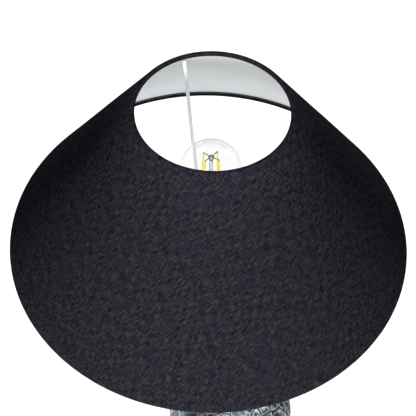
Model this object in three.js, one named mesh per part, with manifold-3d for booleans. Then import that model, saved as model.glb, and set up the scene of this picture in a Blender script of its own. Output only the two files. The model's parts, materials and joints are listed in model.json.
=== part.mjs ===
// Table lamp: a wide conical fabric shade on a wire frame, a clear filament lamp in a threaded
// lampholder, a slim stem, and a squat hollow base whose centre stands to one side of the stem.
// Millimetres, +Z up. The origin is on the table, on the axis of the stem and the shade.
import * as THREE from "three";
import { mergeVertices } from "three/addons/utils/BufferGeometryUtils.js";
import Module from "manifold-3d";

const wasm = await Module();
wasm.setup();

// ---- Driving dimensions ----
const GAP = 0.3; // left between pieces that touch

const SHADE_BOTTOM_R = 199.5; // the outer face of the cloth, at its two edges
const SHADE_TOP_R = 73.8;
const SHADE_HEIGHT = 185.7;
const SHADE_BOTTOM_Z = 466.7;
const CLOTH = 0.8;
const LINING = 0.7;
const BOTTOM_HEM_R = 3; // the cloth rolled inwards round each ring
const TOP_HEM_R = 2.4;
const RING_WIRE_GAP = 0.3; // between a ring's wire and the cloth rolled round it
const ARM_WIRE_R = 1.7;
const ARM_DROP = 2.5; // from the upper ring's centre down to an arm's end
const ARM_AZIMUTHS = { back: 113.5, front: 293.5 }; // degrees from +X
const FITTER_Z = 499.8; // underside of the ring that carries the shade
const FITTER_R = 25;
const FITTER_THICK = 2;

const BASE_SHIFT = 33.6; // how far the base's centre stands to +X of the stem
const BELLY_R = 75;
const BELLY_Z = 92;
const SHOULDER_R = 29;
const SHOULDER_TOP_Z = 128;
const NECK_R = 17; // the cap over the hole for the rod
const FOOT_R = 60;
const BASE_WALL = 7;
const PAD_THICK = 2;
const WEIGHT_R = 55;
const WEIGHT_THICK = 20;
const WEIGHT_Z = 13.7;

const ROD_R = 5; // M10 hollow threaded rod, also the nipple under the lampholder
const ROD_BORE_R = 3.5;
const ROD_HOLE_R = 7.5; // in the top of the base
const ROD_Z = 5; // its lower end, inside the base
const ROD_NUT = { r: 9.8, low: 5.6, high: 11.6 };
const ROD_WASHER = { r: 10.5, low: 11.9, high: 13.4 };
const ROD_GRIP = 17; // how far the rod runs up into the stem
const NIPPLE = { below: 15, above: 9 }; // from the stem's top and the lampholder's floor
const STEM_R = 6.5;
const STEM_BOTTOM_Z = 146;
const STEM_TOP_Z = 455;

const HOLDER_Z = 463.3;
const HOLDER_R = 20;
const SKIRT_Z = 486.3;
const SKIRT_TOP_Z = 521;
const THREAD_PITCH = 3.2;

const BULB_Z = 493; // underside of the lamp's centre contact
const BULB_R = 30;
const BULB_LENGTH = 106;
const GLASS_WALL = 0.9;
const CAP_R = 13.1;
const CAP_LENGTH = 26.5;
const CAP_PITCH = 3.629;
const BEAD = { r: 3, height: 4.4, z: 94 };
const STEM_GLASS_R = 1.7;
const FILAMENT_R = 0.9;
const FILAMENT_TOP = [6.3, 5, 94.3]; // x and y are mirrored for the four rods
const FILAMENT_FOOT = [8.3, 6.5, 55];
const MOUNT_WIRE_R = 0.4;
const MOUNT_TURN = 9; // degrees, of the bead and rods about the lamp's axis

// Colour, roughness and metalness of what several pieces are made of.
const ZINC = [0x9a9c9e, 0.4, 0.9];
const BRASS = [0xc8a65a, 0.35, 1];
const NICKEL = [0xc2c5c6, 0.3, 1];
const BRONZE = [0x24221f, 0.35, 0.85];
const BLACK_PLASTIC = [0x1b1b1d, 0.45];
const LINEN = [0x2b2a31, 0.95];
const WHITE_COAT = [0xe6eaec, 0.4, 0.3];
const DRAWN_WIRE = [0xa4a6a8, 0.4, 0.9];

const ROUND = 20; // sides of a small turned piece
const SHADE_SIDES = 60;
const TOP_SIDES = 40;
const BASE_SIDES = 36;

// ---- Helpers ----
const radians = THREE.MathUtils.degToRad;

function lathe(profile, sides = ROUND) {
  const points = profile.map(([r, z]) => new THREE.Vector2(r, z));
  return new THREE.LatheGeometry(points, sides).rotateX(Math.PI / 2);
}

function disc(r, low, high, sides = ROUND) {
  return lathe([[0, low], [r, low], [r, high], [0, high]], sides);
}

function ring(inner, outer, low, high, sides = ROUND) {
  return lathe([[inner, low], [outer, low], [outer, high], [inner, high], [inner, low]], sides);
}

// Points of an arc round a centre, both ends included; angles in degrees.
function arc([r, z], radius, from, to, steps) {
  return Array.from({ length: steps + 1 }, (_, i) => {
    const t = radians(from + ((to - from) * i) / steps);
    return [r + radius * Math.cos(t), z + radius * Math.sin(t)];
  });
}

// A saw-tooth outline for a thread drawn as rings, from low to high.
function threadOutline(root, crest, low, high, pitch) {
  const turns = Math.floor((high - low) / pitch);
  const outline = [[root, low]];
  for (let i = 0; i < turns; i++) {
    outline.push([crest, low + (i + 0.5) * pitch], [root, low + (i + 1) * pitch]);
  }
  return outline;
}

function polygonShape(radius, sides) {
  const points = Array.from({ length: sides }, (_, i) => {
    const t = (i * 2 * Math.PI) / sides;
    return new THREE.Vector2(radius * Math.cos(t), radius * Math.sin(t));
  });
  return new THREE.Shape(points);
}

function withHole(shape, x, y, radius, sides = ROUND) {
  const hole = polygonShape(radius, sides).getPoints().map((p) => new THREE.Vector2(p.x + x, p.y + y));
  shape.holes.push(new THREE.Path(hole));
  return shape;
}

function extrude(shape, low, high) {
  const options = { depth: high - low, bevelEnabled: false, steps: 1 };
  return new THREE.ExtrudeGeometry(shape, options).translate(0, 0, low);
}

function wireAlong(curve, radius, steps, sides) {
  const options = { steps, bevelEnabled: false, extrudePath: curve };
  return new THREE.ExtrudeGeometry(polygonShape(radius, sides), options);
}

function straightWire(from, to, radius, sides = 8) {
  const path = new THREE.LineCurve3(new THREE.Vector3(...from), new THREE.Vector3(...to));
  return wireAlong(path, radius, 1, sides);
}

function solidOf(geometry) {
  const bare = geometry.clone().deleteAttribute("normal").deleteAttribute("uv");
  const merged = mergeVertices(bare, 1e-3);
  const vertProperties = merged.attributes.position.array;
  const triVerts = new Uint32Array(merged.index.array);
  return new wasm.Manifold(new wasm.Mesh({ numProp: 3, vertProperties, triVerts }));
}

function cut(geometry, ...tools) {
  const left = tools.reduce((solid, tool) => solid.subtract(solidOf(tool)), solidOf(geometry));
  const mesh = left.getMesh();
  const result = new THREE.BufferGeometry();
  result.setAttribute("position", new THREE.BufferAttribute(new Float32Array(mesh.vertProperties), 3));
  result.setIndex(new THREE.BufferAttribute(new Uint32Array(mesh.triVerts), 1));
  result.computeVertexNormals();
  return result;
}

function piece(name, geometry, color, roughness, metalness = 0) {
  const mesh = new THREE.Mesh(geometry, new THREE.MeshStandardMaterial({ color, roughness, metalness }));
  mesh.name = name;
  return mesh;
}

function assembly(...children) {
  return new THREE.Group().add(...children);
}

// ---- Base ----
// All of it is drawn round the belly's own axis, then moved to +X; the rod stands to one side of it.
const RODS_PLACE = -BASE_SHIFT;

// The outline from the foot over the belly and the round shoulder, drawn in by a wall thickness.
function baseOutline(wall, foot, steps) {
  const flank = Array.from({ length: steps + 1 }, (_, i) => {
    const t = radians(-90 + (90 * i) / steps);
    const r = FOOT_R + (BELLY_R - FOOT_R) * Math.cos(t) - wall;
    return [r, BELLY_Z + (BELLY_Z - foot) * Math.sin(t)];
  });
  const centre = [BELLY_R - SHOULDER_R, SHOULDER_TOP_Z - SHOULDER_R];
  return [...flank, ...arc(centre, SHOULDER_R - wall, 0, 90, steps)];
}

function baseBody(foot) {
  const ledge = WEIGHT_Z + WEIGHT_THICK + GAP;
  const ledgeThick = 6; // the weight bears up against this ledge
  const ledgeDepth = 6;
  const bore = WEIGHT_R + 1;
  const inside = baseOutline(BASE_WALL, foot, 5).filter(([, z]) => z > ledge + ledgeThick + 4);
  return lathe([
    ...baseOutline(0, foot, 6),
    [0, SHOULDER_TOP_Z],
    [0, SHOULDER_TOP_Z - BASE_WALL],
    ...inside.reverse(),
    [bore - ledgeDepth, ledge + ledgeThick],
    [bore - ledgeDepth, ledge],
    [bore, ledge],
    [bore, foot],
    [FOOT_R, foot],
  ], BASE_SIDES);
}

const INLET_R = 4;
const INLET_Z = 9;
const INLET_FLANGE = 2;
const INLET_FACE_Y = FOOT_R - 0.5; // the flat cut round the inlet at the back

function inletCutter(radius, from) {
  const depth = 30;
  return new THREE.CylinderGeometry(radius, radius, depth, ROUND).translate(0, from + depth / 2, INLET_Z);
}

function cordGrommet() {
  const depth = 6;
  const bore = 2.6;
  const rounding = 0.8;
  const bush = lathe([
    [bore, -depth],
    [INLET_R, -depth],
    [INLET_R, GAP],
    [INLET_R + INLET_FLANGE, GAP],
    [INLET_R + INLET_FLANGE, INLET_FLANGE],
    [bore + rounding * 1.5, INLET_FLANGE + rounding],
    [bore, INLET_FLANGE],
    [bore, -depth],
  ]);
  return bush.rotateX(-Math.PI / 2).translate(0, INLET_FACE_Y, INLET_Z);
}

function baseAssembly() {
  const foot = PAD_THICK + GAP;
  const coverThick = 1.5;
  const coverR = WEIGHT_R + 0.6;
  const holeDepth = 20;
  const rodHole = new THREE.CylinderGeometry(ROD_HOLE_R, ROD_HOLE_R, 2 * holeDepth, ROUND);
  const body = cut(
    baseBody(foot),
    rodHole.rotateX(Math.PI / 2).translate(RODS_PLACE, 0, SHOULDER_TOP_Z),
    inletCutter(INLET_R + GAP, INLET_FACE_Y - holeDepth),
    inletCutter(INLET_R + INLET_FLANGE + GAP, INLET_FACE_Y),
  );
  const weightPlan = withHole(polygonShape(WEIGHT_R, BASE_SIDES), RODS_PLACE, 0, ROD_R + GAP);
  const weight = extrude(weightPlan, WEIGHT_Z, WEIGHT_Z + WEIGHT_THICK);
  const belly = assembly(
    piece("base_pad", disc(FOOT_R, 0, PAD_THICK, BASE_SIDES), 0x2b2b2b, 0.95),
    piece("base_cover", disc(coverR, foot, foot + coverThick, BASE_SIDES), 0x6f7174, 0.5, 0.8),
    piece("base_body", body, 0x747c81, 0.6),
    piece("base_weight", weight, 0x4a4a4c, 0.8, 0.6),
    piece("cord_grommet", cordGrommet(), 0x1c1c1e, 0.6),
  );
  belly.position.x = BASE_SHIFT;
  const bore = ROD_R + GAP;
  const nutPlan = withHole(polygonShape(ROD_NUT.r, 6), 0, 0, bore);
  return assembly(
    belly,
    piece("rod_washer", ring(bore, ROD_WASHER.r, ROD_WASHER.low, ROD_WASHER.high), ...ZINC),
    piece("rod_nut", extrude(nutPlan, ROD_NUT.low, ROD_NUT.high), ...ZINC),
    piece("tie_rod", ring(ROD_BORE_R, ROD_R, ROD_Z, STEM_BOTTOM_Z + ROD_GRIP, 16), ...ZINC),
  );
}

// ---- Stem ----
// A flange with a rounded edge, sweeping up into the stem in a cove.
function neckCap() {
  const low = SHOULDER_TOP_Z + GAP;
  const bore = ROD_R + GAP;
  const edge = 1;
  const cove = 6;
  const coveR = NECK_R - 2 * edge;
  return lathe([
    [bore, low],
    [NECK_R, low],
    ...arc([NECK_R - edge, low + 2 * edge], edge, 0, 90, 2),
    ...arc([coveR, low + 3 * edge + cove], cove, 270, 180, 4),
    [STEM_R + 1.5, STEM_BOTTOM_Z - GAP],
    [bore, STEM_BOTTOM_Z - GAP],
    [bore, low],
  ]);
}

function stemAssembly() {
  const bore = ROD_R + GAP;
  const low = STEM_TOP_Z + GAP;
  const high = HOLDER_Z - GAP;
  const bead = 2.2;
  const ferrule = lathe([
    [bore, low],
    [STEM_R + 0.8, low],
    ...arc([STEM_R + 1.3, (low + high) / 2 - 0.15], bead, -60, 60, 4),
    [STEM_R + 2, high],
    [bore, high],
    [bore, low],
  ]);
  const nippleLow = STEM_TOP_Z - NIPPLE.below;
  const nippleHigh = HOLDER_Z + NIPPLE.above;
  return assembly(
    piece("neck_cap", neckCap(), ...BRONZE),
    piece("stem_tube", ring(bore, STEM_R, STEM_BOTTOM_Z, STEM_TOP_Z), ...BRONZE),
    piece("stem_ferrule", ferrule, ...BRONZE),
    piece("stem_nipple", ring(ROD_BORE_R, ROD_R, nippleLow, nippleHigh, 16), ...ZINC),
  );
}

// ---- Lampholder ----
const HOLDER_FLOOR = HOLDER_Z + 3;

function holderCap() {
  const wall = 2;
  const high = SKIRT_Z - GAP;
  const bore = ROD_R + GAP;
  const curve = 9;
  return lathe([
    [bore, HOLDER_Z],
    ...arc([HOLDER_R - curve, HOLDER_Z + curve], curve, 270, 360, 5),
    [HOLDER_R, high],
    [HOLDER_R - wall, high],
    ...arc([HOLDER_R - curve, HOLDER_FLOOR + curve - wall], curve - wall, 360, 270, 4),
    [bore, HOLDER_FLOOR],
    [bore, HOLDER_Z],
  ]);
}

function holderSkirt() {
  const inner = HOLDER_R - 3;
  const threadLow = SKIRT_Z + 6.7;
  const threadHigh = SKIRT_TOP_Z - 5;
  const threads = threadOutline(HOLDER_R - 0.8, HOLDER_R - 0.3, threadLow, threadHigh, THREAD_PITCH);
  return lathe([
    [inner, SKIRT_Z],
    [HOLDER_R, SKIRT_Z],
    [HOLDER_R, threadLow - 1],
    ...threads,
    [HOLDER_R - 1, SKIRT_TOP_Z],
    [inner, SKIRT_TOP_Z],
    [inner, SKIRT_Z],
  ]);
}

// A strip of brass with flat ends and an arched middle, under the lamp's contact.
function contactSpring(low) {
  const end = 6;
  const foot = 4;
  const thick = 0.4;
  const rise = 1.2;
  const width = 5;
  const arch = new THREE.Shape();
  arch.moveTo(-end, 0);
  arch.lineTo(-foot, 0);
  arch.quadraticCurveTo(0, rise - 0.1, foot, 0);
  arch.lineTo(end, 0);
  arch.lineTo(end, thick);
  arch.lineTo(foot, thick);
  arch.quadraticCurveTo(0, rise + thick, -foot, thick);
  arch.lineTo(-end, thick);
  arch.closePath();
  const options = { depth: width, bevelEnabled: false, curveSegments: 4 };
  return new THREE.ExtrudeGeometry(arch, options).rotateX(Math.PI / 2).translate(0, width / 2, low);
}

// The ring under the shade's fitter.
function shadeSeat() {
  const bore = HOLDER_R + 0.1;
  const low = FITTER_Z - 5;
  const high = FITTER_Z - GAP;
  const edge = FITTER_R - 0.5;
  return lathe([
    [bore, low],
    [HOLDER_R + 2, low],
    [edge, high - 1.9],
    [edge, high],
    [bore, high],
    [bore, low],
  ]);
}

function holderAssembly() {
  const coreLow = SKIRT_Z - 11;
  const coreStep = SKIRT_Z - 2;
  const coreHigh = BULB_Z - 2;
  const coreR = 15.5;
  const coreTopR = 13;
  const core = lathe([
    [0, coreLow],
    [coreR, coreLow],
    [coreR, coreStep],
    [coreTopR, coreStep],
    [coreTopR, coreHigh],
    [0, coreHigh],
  ]);
  const shellR = CAP_R + GAP + 0.05;
  const shell = ring(shellR, shellR + 0.5, coreHigh + GAP, SKIRT_TOP_Z - 4);
  const nut = { r: 8.1, low: HOLDER_FLOOR + GAP, high: HOLDER_FLOOR + GAP + 4 };
  const nutPlan = withHole(polygonShape(nut.r, 6), 0, 0, ROD_R + GAP);
  const screwThick = 1.7;
  const screws = [-1, 1].map((side, i) => {
    const screw = disc(2.2, coreLow - GAP - screwThick, coreLow - GAP, 12).translate(side * 9, 0, 0);
    return piece("terminal_screw_" + (i + 1), screw, ...BRASS);
  });
  return assembly(
    piece("holder_cap", holderCap(), ...BLACK_PLASTIC),
    piece("holder_nut", extrude(nutPlan, nut.low, nut.high), ...ZINC),
    piece("socket_core", core, 0xe9e6dc, 0.5),
    piece("socket_shell", shell, ...BRASS),
    piece("centre_contact", contactSpring(coreHigh + GAP), ...BRASS),
    piece("holder_skirt", holderSkirt(), ...BLACK_PLASTIC),
    piece("lower_shade_ring", shadeSeat(), ...BLACK_PLASTIC),
    ...screws,
  );
}

// The ring nut that clamps the shade, on a thin washer that rises with it but doesn't turn.
function collarAssembly() {
  const washerLow = FITTER_Z + FITTER_THICK + GAP;
  const washerHigh = washerLow + 0.8;
  const bore = HOLDER_R + 0.1;
  const height = 8;
  const ribs = 30;
  const plan = new THREE.Shape(
    Array.from({ length: ribs * 2 }, (_, i) => {
      const t = (i * Math.PI) / ribs;
      const r = FITTER_R - (i % 2 ? 1 : 0.4);
      return new THREE.Vector2(r * Math.cos(t), r * Math.sin(t));
    }),
  );
  const low = washerHigh + GAP;
  const collar = extrude(withHole(plan, 0, 0, bore), low, low + height);
  return assembly(
    piece("collar_washer", ring(bore + 0.1, FITTER_R - 1, washerLow, washerHigh), 0xd9d9d6, 0.6),
    piece("upper_collar", collar, ...BLACK_PLASTIC),
  );
}

// ---- Shade ----
const slant = new THREE.Vector2(SHADE_TOP_R - SHADE_BOTTOM_R, SHADE_HEIGHT);
const slantLength = slant.length();
const upSlope = slant.clone().normalize();
const outOfSlope = new THREE.Vector2(upSlope.y, -upSlope.x);

// A point of the cone's section: so far up the slope, so far out of the cloth's outer face.
function onSlope(along, out) {
  const p = upSlope.clone().multiplyScalar(along).addScaledVector(outOfSlope, out);
  return [SHADE_BOTTOM_R + p.x, p.y];
}

const bottomRing = onSlope(0, -BOTTOM_HEM_R); // the centres of the two wires
const topRing = onSlope(slantLength, -TOP_HEM_R);

function coneSkin(from, to, inside, outside) {
  const corners = [[from, inside], [from, outside], [to, outside], [to, inside], [from, inside]];
  return lathe(corners.map(([along, out]) => onSlope(along, out)), SHADE_SIDES);
}

// The cloth rolled from its edge round a ring to the inside. turn is 1 at the top edge and -1 at the bottom.
function hem(centre, radius, turn, sides) {
  const edge = THREE.MathUtils.radToDeg(Math.atan2(outOfSlope.y, outOfSlope.x));
  const sweep = 255;
  const ends = [edge, edge + turn * sweep].sort((a, b) => a - b);
  const outside = arc(centre, radius, ends[0], ends[1], 7);
  const inside = arc(centre, radius - CLOTH, ends[1], ends[0], 5);
  return lathe([...outside, ...inside, outside[0]], sides);
}

function ringWire(centre, hemR, sides) {
  return lathe(arc(centre, hemR - CLOTH - RING_WIRE_GAP, 0, 360, 5), sides);
}

// The overlap where the cloth's two ends are glued, down the back.
function seamStrip() {
  const width = 9;
  const thick = 0.5;
  const low = GAP;
  const margin = 4;
  const corner = ([along, out], side) => {
    const [r, z] = onSlope(along, out);
    return [(side * width) / 2, r, z];
  };
  const section = [
    [margin, low],
    [margin, low + thick],
    [slantLength - margin, low + thick],
    [slantLength - margin, low],
  ];
  const points = [1, -1].flatMap((side) => section.map((p) => corner(p, side)));
  const faces = [0, 1, 2, 0, 2, 3, 4, 6, 5, 4, 7, 6];
  for (let i = 0; i < 4; i++) {
    const j = (i + 1) % 4;
    faces.push(i, i + 4, j, j, i + 4, j + 4);
  }
  const strip = new THREE.BufferGeometry();
  strip.setAttribute("position", new THREE.Float32BufferAttribute(points.flat(), 3));
  strip.setIndex(faces);
  strip.computeVertexNormals();
  return strip;
}

function spiderArm(azimuth) {
  const wireZ = FITTER_Z + FITTER_THICK / 2 - SHADE_BOTTOM_Z;
  const turn = radians(azimuth);
  const at = (r, z) => new THREE.Vector3(r * Math.cos(turn), r * Math.sin(turn), z);
  const foot = at(FITTER_R + GAP, wireZ);
  const corner = at(FITTER_R + 3.5, wireZ);
  const [ringR, ringZ] = topRing;
  const top = at(ringR - TOP_HEM_R - ARM_WIRE_R - GAP, ringZ - ARM_DROP);
  const towards = (target, distance) => {
    return corner.clone().add(target.clone().sub(corner).setLength(distance));
  };
  const path = new THREE.CurvePath();
  const bend = 2.6;
  path.add(new THREE.LineCurve3(foot, towards(foot, bend)));
  path.add(new THREE.QuadraticBezierCurve3(towards(foot, bend), corner, towards(top, bend)));
  path.add(new THREE.LineCurve3(towards(top, bend), top));
  return wireAlong(path, ARM_WIRE_R, 30, 8);
}

function shadeAssembly() {
  const liningOut = -CLOTH - GAP;
  const bottomLap = BOTTOM_HEM_R + GAP;
  const topLap = slantLength - TOP_HEM_R - GAP;
  const cloth = coneSkin(GAP, slantLength - GAP, -CLOTH, 0);
  const lining = coneSkin(bottomLap, topLap, liningOut - LINING, liningOut);
  const fitter = ring(HOLDER_R + 0.6, FITTER_R, 0, FITTER_THICK);
  const arms = Object.entries(ARM_AZIMUTHS).map(([side, azimuth]) => {
    return piece("spider_arm_" + side, spiderArm(azimuth), ...WHITE_COAT);
  });
  const shade = assembly(
    piece("shade_fabric", cloth, ...LINEN),
    piece("shade_lining", lining, 0xe4e8ea, 0.6),
    piece("shade_seam", seamStrip(), ...LINEN),
    piece("top_hem", hem(topRing, TOP_HEM_R, 1, TOP_SIDES), ...LINEN),
    piece("bottom_hem", hem(bottomRing, BOTTOM_HEM_R, -1, SHADE_SIDES), ...LINEN),
    piece("top_wire", ringWire(topRing, TOP_HEM_R, TOP_SIDES), ...DRAWN_WIRE),
    piece("bottom_wire", ringWire(bottomRing, BOTTOM_HEM_R, SHADE_SIDES), ...DRAWN_WIRE),
    piece("fitter_ring", fitter.translate(0, 0, FITTER_Z - SHADE_BOTTOM_Z), ...WHITE_COAT),
    ...arms,
  );
  shade.position.z = SHADE_BOTTOM_Z;
  return shade;
}

// ---- Lamp (bulb) ----
// From the neck up a smooth flare into the globe, drawn in by the glass thickness.
function glassOutline(wall, steps) {
  const centre = BULB_LENGTH - BULB_R;
  const leave = -35; // where the flare leaves the globe, in degrees below its equator
  const start = arc([0, centre], BULB_R - wall, leave, leave, 1)[0];
  const neckR = CAP_R - 0.3 - wall;
  const drop = (start[0] - neckR) / Math.tan(radians(-leave));
  const flare = new THREE.QuadraticBezierCurve(
    new THREE.Vector2(neckR, CAP_LENGTH + GAP),
    new THREE.Vector2(neckR, start[1] - drop),
    new THREE.Vector2(...start),
  );
  const curve = flare.getPoints(3).map((p) => [p.x, p.y]);
  const globe = arc([0, centre], BULB_R - wall, leave, 90, steps).slice(1, -1);
  return [...curve, ...globe, [0, centre + BULB_R - wall]];
}

function bulbCap() {
  const low = 5.8;
  const root = CAP_R - 0.9;
  const inner = root - 0.9;
  const thread = threadOutline(root, CAP_R, low + 0.7, CAP_LENGTH - 5.5, CAP_PITCH);
  return lathe([
    [inner, low],
    [root - 0.5, low],
    ...thread,
    [CAP_R, CAP_LENGTH - 4.5],
    [CAP_R + 0.1, CAP_LENGTH],
    [inner, CAP_LENGTH],
    [inner, low],
  ]);
}

// The glass stem flares out to meet the neck, and carries the bead.
function stemGlass() {
  const low = CAP_LENGTH + 1;
  const high = BEAD.z - BEAD.height / 2 - GAP;
  const flare = { footR: 8, centre: [13, low + 9], radius: 10.5, from: 213 };
  return lathe([
    [0, low],
    [flare.footR, low],
    ...arc(flare.centre, flare.radius, flare.from, 180, 4),
    [STEM_GLASS_R, high],
    [0, high],
  ], 12);
}

// One of the four rods, with the hook from the bead to its top and the wire up to its foot.
function filament(n, sx, sy) {
  const at = ([x, y, z]) => [sx * x, sy * y, z];
  const [topX, topY, topZ] = FILAMENT_TOP;
  const [footX, footY, footZ] = FILAMENT_FOOT;
  const clear = FILAMENT_R;
  const rod = straightWire(at(FILAMENT_FOOT), at(FILAMENT_TOP), FILAMENT_R);
  const hookFrom = at([BEAD.r * 0.95, BEAD.r * 0.74, BEAD.z + 0.6]);
  const hook = straightWire(hookFrom, at([topX, topY, topZ + clear]), MOUNT_WIRE_R, 6);
  const leadFrom = at([3.4, 2.7, CAP_LENGTH + 11.5]);
  const lead = straightWire(leadFrom, at([footX - 0.2, footY - 0.2, footZ - clear]), MOUNT_WIRE_R, 6);
  return [
    piece("filament_" + n, rod, 0xf2d21a, 0.6),
    piece("filament_hook_" + n, hook, 0x2c2620, 0.5, 0.8),
    piece("lead_wire_" + n, lead, 0x6a5f55, 0.4, 0.9),
  ];
}

function mountAssembly() {
  const bead = new THREE.SphereGeometry(BEAD.r, 12, 8).rotateX(Math.PI / 2);
  bead.scale(1, 1, BEAD.height / (2 * BEAD.r)).translate(0, 0, BEAD.z);
  const corners = [[1, 1], [-1, 1], [-1, -1], [1, -1]];
  const mount = assembly(
    piece("bulb_stem", stemGlass(), 0xf2f6f7, 0.05),
    piece("bulb_bead", bead, 0xb9c2c0, 0.1),
    ...corners.flatMap(([sx, sy], i) => filament(i + 1, sx, sy)),
  );
  mount.rotation.z = radians(MOUNT_TURN);
  return mount;
}

function bulbAssembly() {
  const tip = lathe([[0, 0], [2.5, 0.2], [4.6, 1.2], [4.8, 2.2], [0, 2.2]]);
  const insulator = lathe([[0, 2.5], [5.6, 2.5], [11, 5.2], [11, 5.5], [0, 5.5]]);
  const outer = glassOutline(0, 8);
  const inner = glassOutline(GLASS_WALL, 6).reverse();
  // The glass is open at the neck: its outline runs up the outside and back down the inside.
  const glass = lathe([...inner, ...outer]);
  const lamp = assembly(
    piece("bulb_tip", tip, ...NICKEL),
    piece("bulb_insulator", insulator, 0x151517, 0.3),
    piece("bulb_cap", bulbCap(), ...NICKEL),
    piece("bulb_glass", glass, 0xf4f8f9, 0.03),
    mountAssembly(),
  );
  lamp.position.z = BULB_Z;
  return lamp;
}

const group = assembly(
  baseAssembly(),
  stemAssembly(),
  holderAssembly(),
  collarAssembly(),
  shadeAssembly(),
  bulbAssembly(),
);
group.name = "table_lamp";

export default group;
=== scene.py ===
"""The looks of a table lamp with a conical linen shade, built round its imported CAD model. Metres, +Z up."""
import json
import math

import bmesh
import bpy
import numpy as np
from mathutils import Matrix, Vector, noise


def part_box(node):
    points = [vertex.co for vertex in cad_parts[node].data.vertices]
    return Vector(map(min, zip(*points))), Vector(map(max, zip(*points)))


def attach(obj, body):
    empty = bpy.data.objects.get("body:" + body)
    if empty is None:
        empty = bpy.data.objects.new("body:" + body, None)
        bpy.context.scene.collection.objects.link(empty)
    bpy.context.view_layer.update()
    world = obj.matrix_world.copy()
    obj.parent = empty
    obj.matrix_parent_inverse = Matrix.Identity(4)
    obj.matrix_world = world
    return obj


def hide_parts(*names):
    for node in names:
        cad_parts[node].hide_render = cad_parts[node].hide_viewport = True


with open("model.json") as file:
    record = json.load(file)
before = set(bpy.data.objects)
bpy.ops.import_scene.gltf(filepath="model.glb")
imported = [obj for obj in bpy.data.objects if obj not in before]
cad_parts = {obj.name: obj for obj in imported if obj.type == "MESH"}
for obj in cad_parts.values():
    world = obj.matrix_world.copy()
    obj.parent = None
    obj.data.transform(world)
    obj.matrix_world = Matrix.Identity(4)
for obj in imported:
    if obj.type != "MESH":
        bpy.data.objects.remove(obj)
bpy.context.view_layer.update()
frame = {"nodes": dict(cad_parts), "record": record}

MM = 0.001
TAU = 2 * math.pi

# ---- Sizes that the CAD boxes don't give by themselves ----
CLOTH = 0.8 * MM
WIRE_GAP = 0.3 * MM
ARM_R = 1.7 * MM
ARM_DROP = {1: 0.8 * MM, -1: 3 * MM}   # from the upper ring down to the end of the back and the front arm
LINING_OUT = (-1.8 * MM, -1.1 * MM)    # the lining's two faces, off the cloth's outer face

SHOULDER_R = 29 * MM
GLASS_WALL = 0.7 * MM
BULB_R = 30 * MM
FILAMENT_R = 0.9 * MM
BULB_PITCH = 3.629 * MM
SKIRT_PITCH = 3.2 * MM


def middle(node):
    low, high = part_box(node)
    return (low + high) / 2


class Rim:
    """A ring of the shade in section: its wire's centre and the radius of the cloth rolled round it."""

    def __init__(self, wire):
        low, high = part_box(wire)
        wire_r = (high.z - low.z) / 2
        self.roll = wire_r + WIRE_GAP + CLOTH
        self.centre = Vector((high.x - wire_r, (low.z + high.z) / 2))


BOTTOM, TOP = Rim("bottom_wire"), Rim("top_wire")
between = TOP.centre - BOTTOM.centre
lean = math.asin((BOTTOM.roll - TOP.roll) / between.length)
OUT_OF_SLOPE = Matrix.Rotation(lean, 2) @ Vector((between.y, -between.x)).normalized()
UP_SLOPE = Vector((-OUT_OF_SLOPE.y, OUT_OF_SLOPE.x))
EDGE = BOTTOM.centre + OUT_OF_SLOPE * BOTTOM.roll          # the cloth's outer face, at its lower edge
SLANT = (TOP.centre + OUT_OF_SLOPE * TOP.roll - EDGE).length
APEX = EDGE.x / -UP_SLOPE.x            # slant distance from the cone's point to the lower edge


# ---- Mesh helpers ----
def new_object(name, mesh):
    piece = bpy.data.objects.new(name, mesh)
    bpy.context.scene.collection.objects.link(piece)
    return piece


def grid(name, points, around=True, closed=False, uv=None, sharp=40):
    """A smooth mesh through points[row][column]. around joins the last column to the first, closed the last row.
    Points that meet, as on an axis, are merged."""
    points = np.asarray(points, float)
    rows, columns = points.shape[:2]
    last_row, last_column = rows - (not closed), columns - (not around)
    faces, corners = [], []
    for r in range(last_row):
        for c in range(last_column):
            r2, c2 = (r + 1) % rows, (c + 1) % columns
            faces.append((r * columns + c, r * columns + c2, r2 * columns + c2, r2 * columns + c))
            corners += [(r, c), (r, c + 1), (r + 1, c + 1), (r + 1, c)]
    mesh = bpy.data.meshes.new(name)
    mesh.from_pydata(points.reshape(-1, 3).tolist(), [], faces)
    if uv is not None:
        layer = mesh.uv_layers.new(name="cloth")
        layer.data.foreach_set("uv", np.array([uv(r, c) for r, c in corners], float).ravel())
    tidy(mesh, sharp)
    return new_object(name, mesh)


def tidy(mesh, sharp):
    """Merges points that meet, turns the faces outwards and shades them smooth but for sharp edges."""
    work = bmesh.new()
    work.from_mesh(mesh)
    bmesh.ops.remove_doubles(work, verts=work.verts, dist=1e-7)
    bmesh.ops.recalc_face_normals(work, faces=work.faces)
    work.to_mesh(mesh)
    work.free()
    mesh.polygons.foreach_set("use_smooth", [True] * len(mesh.polygons))
    mesh.set_sharp_from_angle(angle=math.radians(sharp))


def turned(name, profile, sides=96, closed=False, centre=(0, 0), bend=None, sharp=40):
    """A profile of (radius, height) turned about a vertical axis. bend(turn, r, z) may change each point."""
    turns = np.arange(sides) / sides * TAU
    points = []
    for r, z in profile:
        row = []
        for t in turns:
            rr, zz = bend(t, r, z) if bend and r > 1e-9 else (r, z)
            row.append((centre[0] + rr * math.cos(t), centre[1] + rr * math.sin(t), zz))
        points.append(row)
    return grid(name, points, closed=closed, sharp=sharp)


def arc(centre, radius, start, end, steps):
    """Points of an arc, both ends included; angles in degrees."""
    angles = np.radians(np.linspace(start, end, steps + 1))
    return [(centre[0] + radius * math.cos(a), centre[1] + radius * math.sin(a)) for a in angles]


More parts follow.
